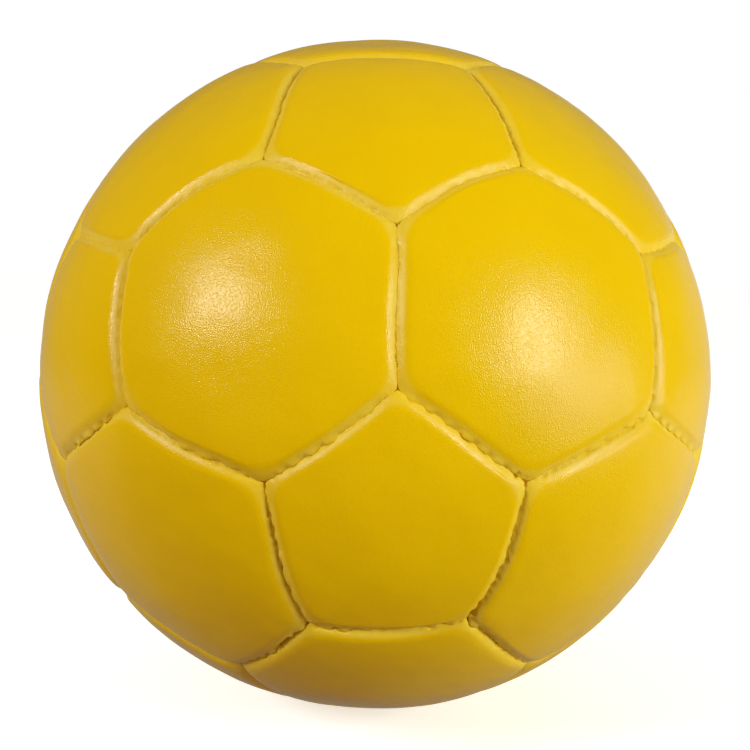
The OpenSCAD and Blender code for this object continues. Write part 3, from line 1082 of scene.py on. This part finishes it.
def make_floor():
    """A pale floor under the ball, which fades into the white around it."""
    finish = Finish("pale_floor")
    rays = finish.add("ShaderNodeLightPath").outputs
    where = finish.split(finish.place)
    pale = finish.mix(finish.span(finish.noise(6, detail=3), 0.3, 0.7), *FLOOR_PALE)
    own = finish.mix(rays["Is Camera Ray"], FLOOR_DARK, pale)
    aside = finish.span(where["X"], *FLOOR_ASIDE, *FLOOR_MIRRORED)
    mirrored = finish.math("MULTIPLY", finish.span(where["Y"], *FLOOR_BACK), aside)
    strength = finish.span(rays["Is Camera Ray"], 0, 1, mirrored, FLOOR_WHITE)
    seen = finish.both(floor_diffuse(finish, own), finish.glow("ShaderNodeEmission", WHITE, strength))
    aside = finish.span(where["X"], *FLOOR_SIDES)
    strength = finish.math("MULTIPLY", finish.span(where["Y"], *FLOOR_LENT), aside)
    lent = finish.glow("ShaderNodeEmission", FLOOR_LENDS, strength)
    unseen = finish.both(floor_diffuse(finish, FLOOR_FELT), lent)
    looked_at = finish.math("MAXIMUM", rays["Is Camera Ray"], rays["Is Glossy Ray"])
    fade = finish.span(finish.vector("LENGTH", finish.place)["Value"], *FLOOR_FADE)
    clear = finish.add("ShaderNodeBsdfTransparent").outputs[0]
    finish.show(finish.blend(fade, finish.blend(looked_at, unseen, seen), clear))
    mesh_object("floor", *floor_mesh(), finish.material)


# Lamps: name, azimuth from the camera's and elevation in degrees, width and height in metres, watts, colour
LAMPS = [
    ("left_softbox", -55, 27, 0.31, 0.31, 7.0, (1, 0.96, 0.94)),
    ("right_softbox", 53, 19, 0.28, 0.34, 6.4, (1, 1, 0.96)),
    ("low_right_softbox", 68, -6, 0.7, 0.6, 6.6, (1, 1, 0.96)),
]
LAMP_DISTANCE = 1.1

# The sky that lights the object, from below to above, and the light from behind that is added to it. Each has
# the range of the ray's direction over which it changes
SKY_LOW = (0.24, 0.14, 0.08, 1)
SKY_HIGH = (0.25, 0.15, 0.09, 1)
SKY_RISE = (-0.4, 0.8)
SKY_BACK = (0.92, 0.84, 0.68, 1)
SKY_BACK_START = (0.0, 0.7)
# How much of the white backdrop shows in reflections, by how far the ray goes backwards, upwards and to the
# right. Each is a range of that direction and the strengths at its two ends
GLOSS_BACK = (0.42, 0.98, 0.02, 1)
GLOSS_HIGH = (-0.1, 0.3, 1, 0.27)
GLOSS_SIDES = (-0.9, 0.5, 0.16, 0.62)


def make_lamps():
    """Soft lights that face the ball."""
    for name, azimuth, elevation, width, height, watts, colour in LAMPS:
        lamp = bpy.data.lights.new(name, "AREA")
        lamp.shape = "RECTANGLE"
        lamp.size = width
        lamp.size_y = height
        lamp.energy = watts
        lamp.color = colour
        thing = bpy.data.objects.new(name, lamp)
        bpy.context.scene.collection.objects.link(thing)
        a = VIEW_AZIMUTH + math.radians(azimuth)
        e = math.radians(elevation)
        way = Vector((math.sin(a) * math.cos(e), -math.cos(a) * math.cos(e), math.sin(e)))
        thing.location = way * LAMP_DISTANCE
        thing.rotation_euler = way.to_track_quat("Z", "Y").to_euler()


def make_world():
    """White all around for the camera, a dimmer white for reflections, and a warm sky for the light."""
    world = bpy.data.worlds.new("studio")
    bpy.context.scene.world = world
    world.use_nodes = True
    nodes = Nodes(world.node_tree)
    nodes.tree.nodes.remove(next(n for n in nodes.tree.nodes if n.type == "BACKGROUND"))
    way = nodes.split(nodes.add("ShaderNodeTexCoord").outputs["Generated"])
    rays = nodes.add("ShaderNodeLightPath").outputs
    kind = "ShaderNodeBackground"
    sky = nodes.blend(nodes.span(way["Z"], *SKY_RISE), nodes.glow(kind, SKY_LOW), nodes.glow(kind, SKY_HIGH))
    sky = nodes.both(sky, nodes.glow(kind, SKY_BACK, nodes.span(way["Y"], *SKY_BACK_START)))
    gloss = nodes.math("MULTIPLY", nodes.span(way["Y"], *GLOSS_BACK), nodes.span(way["Z"], *GLOSS_HIGH))
    gloss = nodes.math("MULTIPLY", gloss, nodes.span(way["X"], *GLOSS_SIDES))
    lit = nodes.blend(rays["Is Glossy Ray"], sky, nodes.glow(kind, WHITE, gloss))
    seen = nodes.math("MAXIMUM", rays["Is Camera Ray"], rays["Is Transmission Ray"])
    nodes.show(nodes.blend(seen, lit, nodes.glow(kind, WHITE)))


def make_camera():
    data = bpy.data.cameras.new("camera")
    data.sensor_width = 36.0
    data.lens = FOCAL_PX / PHOTO_SIDE * data.sensor_width
    data.shift_x = (PHOTO_SIDE / 2 - PHOTO_CENTRE[0]) / PHOTO_SIDE
    data.shift_y = -(PHOTO_SIDE / 2 - PHOTO_CENTRE[1]) / PHOTO_SIDE
    data.clip_start = 0.01
    camera = bpy.data.objects.new("camera", data)
    bpy.context.scene.collection.objects.link(camera)
    turn = Matrix((RIGHT, UP, -AHEAD)).transposed().to_4x4()
    camera.matrix_world = Matrix.Translation(EYE * MM) @ turn
    bpy.context.scene.camera = camera


make_camera()
make_lamps()
make_world()
make_floor()
make_panels(leather())
make_threads(thread_in_painted_shade())
finish_nodes()
bpy.context.scene.view_settings.view_transform = "Standard"
